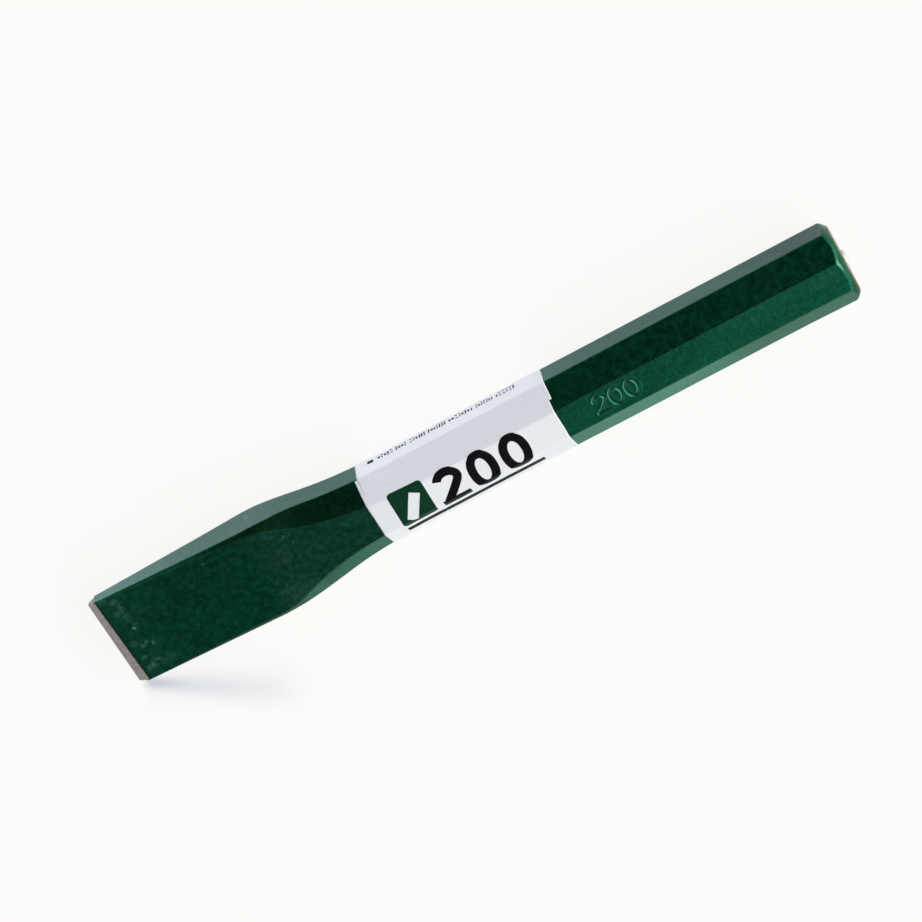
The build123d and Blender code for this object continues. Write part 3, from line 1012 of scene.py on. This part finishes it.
# ---------------------------------------------------------------- other materials
def steel_material():
    mat, net = new_material("ground_steel")
    point = net.point()
    x = net.split(point)[0]
    # Grinding lines run away from the cutting edge on the bevels
    lines = net.noise(net.stretch(point, (0.10, 6.0, 0.10)), size=1.0, detail=4, rough=0.7)
    wide_lines = net.noise(net.stretch(point, (0.25, 2.2, 0.25)), size=1.0, detail=3, rough=0.6)
    at_tip = x.ramp(6, 4)
    blotch = net.noise(point, size=1.3, detail=4, rough=0.6)
    pit = net.noise(point, size=0.45, detail=3, rough=0.6)
    ground = net.mix(lines.ramp(0.35, 0.65), (0.325, 0.280, 0.262), (0.475, 0.418, 0.398))
    ground = ground.cover(blotch.ramp(0.55, 0.75) * 0.35, (0.22, 0.18, 0.15))
    head = net.mix(blotch.ramp(0.38, 0.66), (0.42, 0.385, 0.36), (0.58, 0.545, 0.52))
    head = head.cover(pit.ramp(0.62, 0.74) * 0.4, (0.24, 0.19, 0.15))
    # Painted highlight: the boss is coloured much brighter to stand for the light it reflects
    head = head.cover(x.ramp(200.15, 200.35), (0.80, 0.755, 0.73))     # the boss is brighter
    base = net.mix(at_tip, head, ground)
    radius = net.vector("LENGTH", net.stretch(point, (0, 1, 1)), output="Value")
    rim = radius.ramp(6.9, 7.6) * x.ramp(199, 199.8)
    base = base.cover(rim * 0.6, (0.48, 0.41, 0.20))
    rust_noise = net.noise(point, size=0.9, detail=4, rough=0.7)
    rust = rust_noise.ramp(0.62, 0.70) * x.ramp(3.4, 2.2)
    base = base.cover(rust * 0.6, (0.17, 0.085, 0.04))
    height = (at_tip * (lines * 0.5 + wide_lines * 0.35)
              + (1.0 - at_tip) * (blotch * 0.8 + pit * 0.3))
    net.principled(Base_Color=base, Metallic=0.85,
                   Roughness=blotch.ramp(0.3, 0.7, to=(0.38, 0.52)),
                   Normal=net.bump(height, distance=0.05, strength=0.7))
    return mat


def paper_material():
    mat, net = new_material("label_paper")
    point = net.point()
    x = net.split(point)[0]
    fibre = net.noise(net.stretch(point, (0.6, 1.4, 1.4)), size=0.35, detail=4, rough=0.65)
    cloud = net.noise(point, size=6.0)
    dirt = net.noise(net.stretch(point, (1, 1, 1)), size=2.2, detail=5, rough=0.65)
    geometry = net.node("NewGeometry").outputs
    normal = geometry["Normal"]
    cut_end = abs(net.split(geometry["True Normal"])[0]).ramp(0.55, 0.85)
    base = net.mix(cloud.ramp(0.35, 0.7), (0.905, 0.920, 0.955), (0.935, 0.945, 0.975))
    base = base.cover(fibre.ramp(0.5, 0.8) * 0.25, (0.80, 0.81, 0.85))
    base = base.cover(dirt.ramp(0.62, 0.80) * 0.18, (0.68, 0.68, 0.69))
    ends = x.ramp(LABEL_START + 3.2, LABEL_START + 0.3).max(
        x.ramp(LABEL_END - 2.2, LABEL_END + 0.5))
    base = base.cover(ends * dirt.ramp(0.45, 0.70) * 0.22, (0.60, 0.63, 0.62))
    base = base.cover(cut_end * 0.8, (0.93, 0.93, 0.93))
    # Painted shade: the paper on the +Y corner facet is coloured darker and bluer
    base = base.cover(net.facing(normal, CORNER_PLUS) * 0.75, (0.830, 0.845, 0.905))
    _, normal_y, normal_z = net.split(normal)
    # Painted light: the paper glows faintly, more where it faces +Y and a little more where it faces
    # up
    glow = 0.022 + (normal_y.ramp(0.90, 0.98) * 0.090 + normal_z.ramp(0.90, 0.98) * 0.028)
    height = fibre * 0.35 + net.noise(point, size=1.6, detail=3, rough=0.5) * 0.5
    net.principled(Base_Color=base, Roughness=fibre.ramp(0.3, 0.7, to=(0.50, 0.64)),
                   Normal=net.bump(height, distance=0.030, strength=0.6),
                   Specular_IOR_Level=0.38, Coat_Weight=0.10, Coat_Roughness=0.35,
                   Emission_Color=(0.75, 0.85, 1.0), Emission_Strength=glow)
    return mat


def ink_material(name, colour, pale):
    mat, net = new_material(name)
    point = net.point()
    grain = net.noise(point, size=0.28, detail=4, rough=0.7)
    cloud = net.noise(point, size=2.4, detail=3, rough=0.6)
    base = net.mix(grain.ramp(0.52, 0.78) * 0.35, colour, pale)
    base = base.cover(cloud.ramp(0.5, 0.8) * 0.25, pale)
    net.principled(Base_Color=base, Roughness=grain.ramp(0.3, 0.7, to=(0.36, 0.50)),
                   Normal=net.bump(grain, distance=0.012, strength=0.5), Specular_IOR_Level=0.12)
    return mat


def glue_material():
    mat, net = new_material("label_glue")
    point = net.point()
    smear = net.noise(point, size=0.9, detail=4, rough=0.6)
    base = net.mix(smear.ramp(0.35, 0.7), (0.42, 0.36, 0.22), (0.58, 0.52, 0.36))
    specks = net.noise(point, size=0.3, detail=3, rough=0.6)
    base = base.cover(specks.ramp(0.55, 0.75) * 0.4, (0.20, 0.17, 0.11))
    net.principled(Base_Color=base, Roughness=smear.ramp(0.3, 0.7, to=(0.28, 0.5)),
                   Normal=net.bump(smear, distance=0.03, strength=0.5))
    return mat


enamel, bare_steel = enamel_material(), steel_material()
paper, glue = paper_material(), glue_material()
black = ink_material("ink_black", (0.0035, 0.0032, 0.0045), (0.016, 0.015, 0.018))
green = ink_material("ink_green", (0.003, 0.042, 0.018), (0.010, 0.075, 0.040))
for obj, mat in ((coat, enamel), (steel, bare_steel), (label, paper), (ink_figures, black),
                 (ink_bar, black), (ink_fine, black), (ink_block, green)):
    obj.data.materials.clear()
    obj.data.materials.append(mat)
for node_name, mat in (("forged_body", bare_steel), ("enamel_coat", enamel),
                       ("label_adhesive", glue), ("paper_label", paper)):
    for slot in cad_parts[node_name].material_slots:
        slot.material = mat

# ---------------------------------------------------------------- floor
FLOOR_X = 100.0
FLOOR_WHITE, FLOOR_PAINTED_SHADOW = (0.99, 0.981, 0.961), (0.56, 0.60, 0.67)    # as the camera sees it
# Light the floor gives back on the +Y and the -Y side
GLOW_PLUS, GLOW_MINUS = (0.233, 0.240, 0.287), (0.066, 0.108, 0.093)
# The shadow's own two directions start here; weights of x and y in each
SHADOW_X, SHADOW_Y = 7.2, -30.2
SHADOW_ALONG, SHADOW_ACROSS = (3.523, -1.905), (-1.782, -2.898)


def painted_shadow_mask(net, x, y):
    """A faint painted shadow on the floor beside the blade's tip, on the -Y side."""
    offset_x, offset_y = x - SHADOW_X, y + -SHADOW_Y
    along = offset_x * SHADOW_ALONG[0] + offset_y * SHADOW_ALONG[1]
    across = offset_x * SHADOW_ACROSS[0] + offset_y * SHADOW_ACROSS[1]

    def bell(middle, width):
        return net.math("EXPONENT", abs((across - middle) / width) ** 2.0 * -1.0)

    # The core drifts, widens and weakens along its length; a narrow and a wide bell join it
    core = bell(middle=along * 0.055 + -13.4, width=(along * 0.060 + 10.0).max(4.0))
    core = core * (along * -0.0034 + 0.44).max(0.0)
    core = core + bell(middle=-16.8, width=4.0) * along.ramp(0.0, -52.0, to=(0.0, 0.34))
    core = core + bell(middle=-17.0, width=26.0) * 0.14
    return core * along.ramp(-60.0, -46.0) * along.ramp(128.0, 66.0)


def floor_material():
    """The camera sees a pale floor with a painted shadow, clear from below; other rays see a graded
    glow.
    """
    mat, net = new_material("pale_floor")
    rays = net.node("LightPath").outputs
    geometry = net.node("NewGeometry").outputs
    x, y, _ = net.split(net.point())
    x = x + FLOOR_X
    plus_side = y.ramp(-14.0, 14.0)
    plus_strength = 0.80 + (x.ramp(130.0, 30.0, to=(0.0, 0.25)) + x.ramp(32.0, 0.0, to=(0.0, 0.95)))
    minus_strength = 0.85 + x.ramp(80.0, 118.0, to=(0.0, 1.3)) * x.ramp(178.0, 142.0)
    diffuse = net.value("BsdfDiffuse", {
        "Color": net.mix(plus_side, (0.50, 0.52, 0.50), (0.80, 0.805, 0.82))})
    minus_glow = net.value("Emission", {"Color": GLOW_MINUS, "Strength": minus_strength})
    plus_glow = net.value("Emission", {"Color": GLOW_PLUS, "Strength": plus_strength})
    glow = net.value("MixShader", {0: plus_side, 1: minus_glow, 2: plus_glow})
    dim = net.value("BsdfDiffuse", {"Color": (0.10, 0.10, 0.103)})
    seen_colour = net.mix(painted_shadow_mask(net, x, y), FLOOR_WHITE, FLOOR_PAINTED_SHADOW)
    seen = net.value("Emission", {"Color": seen_colour, "Strength": 0.905})
    to_camera = net.value("AddShader", {0: dim, 1: seen})
    to_others = net.value("AddShader", {0: diffuse, 1: glow})
    top = net.value("MixShader", {0: rays["Is Camera Ray"], 1: to_others, 2: to_camera})
    clear = net.value("BsdfTransparent")
    from_below = net.math("MULTIPLY", geometry["Backfacing"], rays["Is Camera Ray"])
    net.output(net.value("MixShader", {0: from_below, 1: top, 2: clear}))
    return mat


bpy.context.view_layer.update()
floor_z = min(cad_low.z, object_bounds()[0].z) - 0.00002
bm = bmesh.new()
bmesh.ops.create_grid(bm, x_segments=8, y_segments=8, size=3.0)
floor_mesh = bpy.data.meshes.new("floor")
bm.to_mesh(floor_mesh)
bm.free()
floor = bpy.data.objects.new("floor", floor_mesh)
scene.collection.objects.link(floor)
floor.location = (FLOOR_X * MM, 0, floor_z)
floor_mesh.materials.append(floor_material())

# ---------------------------------------------------------------- studio light
# Soft sources round the object: azimuth and elevation in degrees, strength
SOURCES = [
    (0, 5, 0.73), (36, 5, 2.25), (180, 5, 1.05), (-144, 5, 0.61), (-72, 5, 1.75), (-36, 5, 0.50),
    (18, 27, 2.22), (-18, 27, 0.74), (-54, 27, 2.16), (-90, 27, 0.18), (162, 27, 1.40),
    (0, 50, 1.34), (-51, 50, 0.30), (30, 72, 0.41)]
SOURCE_SPREAD = math.radians(16.0)


def studio_world():
    world = bpy.data.worlds.new("studio")
    world.use_nodes = True
    scene.world = world
    net = Net(world.node_tree)
    direction = net.vector("NORMALIZE", net.value("TexCoord", output="Generated"))
    light = 0.0
    for azimuth, elevation, strength in SOURCES:
        turn, rise = math.radians(azimuth), math.radians(elevation)
        source = (math.cos(rise) * math.cos(turn), math.cos(rise) * math.sin(turn), math.sin(rise))
        falloff = (net.dot(direction, source) - 1.0) * (1.0 / SOURCE_SPREAD ** 2)
        light = light + net.math("EXPONENT", falloff) * strength
    lighting = net.value("Background", {"Color": (1.0, 1.0, 1.0), "Strength": light})
    backdrop = net.value("Background", {"Color": (0.965, 0.968, 0.965), "Strength": 1.0})
    camera_ray = net.value("LightPath", output="Is Camera Ray")
    net.output(net.value("MixShader", {0: camera_ray, 1: lighting, 2: backdrop}), kind="World")


studio_world()

# ---------------------------------------------------------------- camera
CAMERA_DISTANCE = 810.8
CAMERA_LEAN_X, CAMERA_LEAN_Y = math.radians(7.86), math.radians(26.05)  # from straight above
CAMERA_ROLL = math.radians(27.74)
AIM_X, AIM_UP = 97.05, 0.27                 # aim along x, then along the unrolled up direction


def add_camera():
    cos_x, sin_x = math.cos(CAMERA_LEAN_X), math.sin(CAMERA_LEAN_X)
    cos_y, sin_y = math.cos(CAMERA_LEAN_Y), math.sin(CAMERA_LEAN_Y)
    back = Vector((sin_x, cos_x * sin_y, cos_x * cos_y))
    level_right = Vector((cos_x, -sin_x * sin_y, -sin_x * cos_y))
    level_up = back.cross(level_right)
    place = Vector((AIM_X, 0, 0)) + AIM_UP * level_up + CAMERA_DISTANCE * back
    right = math.cos(CAMERA_ROLL) * level_right - math.sin(CAMERA_ROLL) * level_up
    up = math.sin(CAMERA_ROLL) * level_right + math.cos(CAMERA_ROLL) * level_up
    data = bpy.data.cameras.new("camera")
    data.sensor_width = 36.0
    data.lens = 131.727983
    data.shift_x, data.shift_y = 0.0000976139, -0.00395878525
    data.clip_start, data.clip_end = 0.01, 20
    camera = bpy.data.objects.new("camera", data)
    scene.collection.objects.link(camera)
    rows = [(*axes, offset * MM) for *axes, offset in zip(right, up, back, place)]
    camera.matrix_world = Matrix((*rows, (0, 0, 0, 1)))
    scene.camera = camera


add_camera()
scene.view_settings.view_transform = "Standard"
scene.view_settings.look = "None"

bpy.context.view_layer.update()
